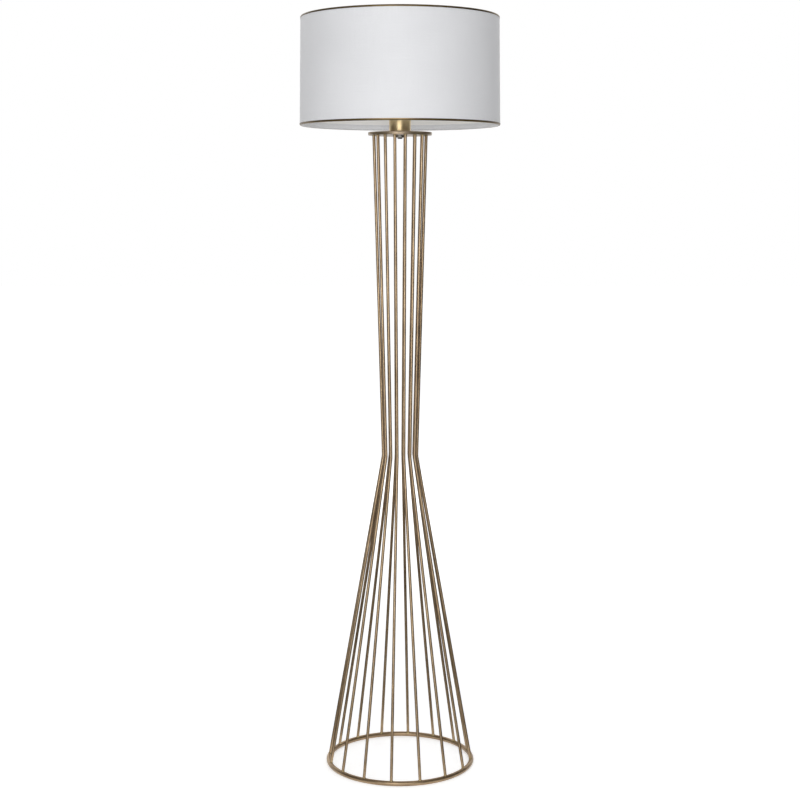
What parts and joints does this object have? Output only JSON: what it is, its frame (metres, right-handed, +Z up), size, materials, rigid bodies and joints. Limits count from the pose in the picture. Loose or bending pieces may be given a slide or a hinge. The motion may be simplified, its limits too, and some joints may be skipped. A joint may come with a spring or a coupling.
{
  "type": "floor lamp",
  "caption": "Floor lamp on a waisted cage of metal wires standing on a round ring, with a disc on top, a brass neck cup and a white drum shade with gold edging.",
  "frame": {"origin": "on the floor, at the centre of the ring that the lamp stands on", "axes": "+Z up along the lamp's axis; -Y is the front, which the picture shows; +X is to the right, seen from the front"},
  "size_m": [0.4027, 0.4028, 1.535],
  "materials": {
    "cage_metal": "satin",
    "cup_brass": "satin",
    "zinc_steel": "satin",
    "bush_plastic": "matte",
    "holder_plastic": "satin",
    "block_ceramic": "matte",
    "contact_brass": "satin",
    "cap_nickel": "satin",
    "insulator_glass": "gloss",
    "bulb_plastic": "satin",
    "bulb_opal": "satin",
    "board_aluminium": "satin",
    "board_green": "satin",
    "shade_cloth": "matte",
    "shade_liner": "satin",
    "white_wire": "satin",
    "gold_trim": "satin"
  },
  "bodies": {
    "frame": {"base_ring": "cage_metal", "cage_wire_01": "cage_metal", "cage_wire_02": "cage_metal", "cage_wire_03": "cage_metal", "cage_wire_04": "cage_metal", "cage_wire_05": "cage_metal", "cage_wire_06": "cage_metal", "cage_wire_07": "cage_metal", "cage_wire_08": "cage_metal", "cage_wire_09": "cage_metal", "cage_wire_10": "cage_metal", "cage_wire_11": "cage_metal", "cage_wire_12": "cage_metal", "cage_wire_13": "cage_metal", "cage_wire_14": "cage_metal", "cage_wire_15": "cage_metal", "cage_wire_16": "cage_metal", "top_plate": "cage_metal", "threaded_tube": "zinc_steel", "lock_nut": "zinc_steel", "lock_washer": "zinc_steel", "cord_bush": "bush_plastic", "neck_cup": "cup_brass", "holder_base": "holder_plastic", "grub_screw": "zinc_steel", "holder_block": "block_ceramic", "holder_rivets": "contact_brass", "centre_contact": "contact_brass", "screw_sleeve": "contact_brass", "holder_terminals": "contact_brass", "terminal_screws": "zinc_steel", "holder_skirt": "holder_plastic"},
    "bulb_tip": {"bulb_contact": "cap_nickel"},
    "bulb": {"bulb_insulator": "insulator_glass", "bulb_cap": "cap_nickel", "bulb_housing": "bulb_plastic", "bulb_driver": "board_green", "bulb_led_board": "board_aluminium", "bulb_globe": "bulb_opal"},
    "shade": {"shade_cover": "shade_cloth", "shade_liner": "shade_liner", "shade_top_wire": "white_wire", "shade_bottom_wire": "white_wire", "shade_top_trim": "gold_trim", "shade_bottom_trim": "gold_trim", "shade_fitter": "white_wire"},
    "ring_nut": {"shade_ring_nut": "holder_plastic"}
  },
  "joints": [
    {"name": "bulb_rise", "type": "slide", "parent": "frame", "child": "bulb_tip", "axis": [0, 0, 1], "range_m": [0, 0.02541]},
    {"name": "bulb_turn", "type": "hinge", "parent": "bulb_tip", "child": "bulb", "pos_m": [0, 0, 1.3383], "axis": [0, 0, 1], "range_deg": [0, 2520]},
    {"name": "ring_nut_turn", "type": "hinge", "parent": "frame", "child": "ring_nut", "pos_m": [0, 0, 1.3547], "axis": [0, 0, 1], "range_deg": [0, 90]},
    {"name": "shade_turn", "type": "hinge", "parent": "frame", "child": "shade", "pos_m": [0, 0, 1.353], "axis": [0, 0, 1], "continuous": true}
  ],
  "couplings": [
    {"joint": "bulb_rise", "follows": "bulb_turn", "m_per_rad": 0.00057757}
  ]
}
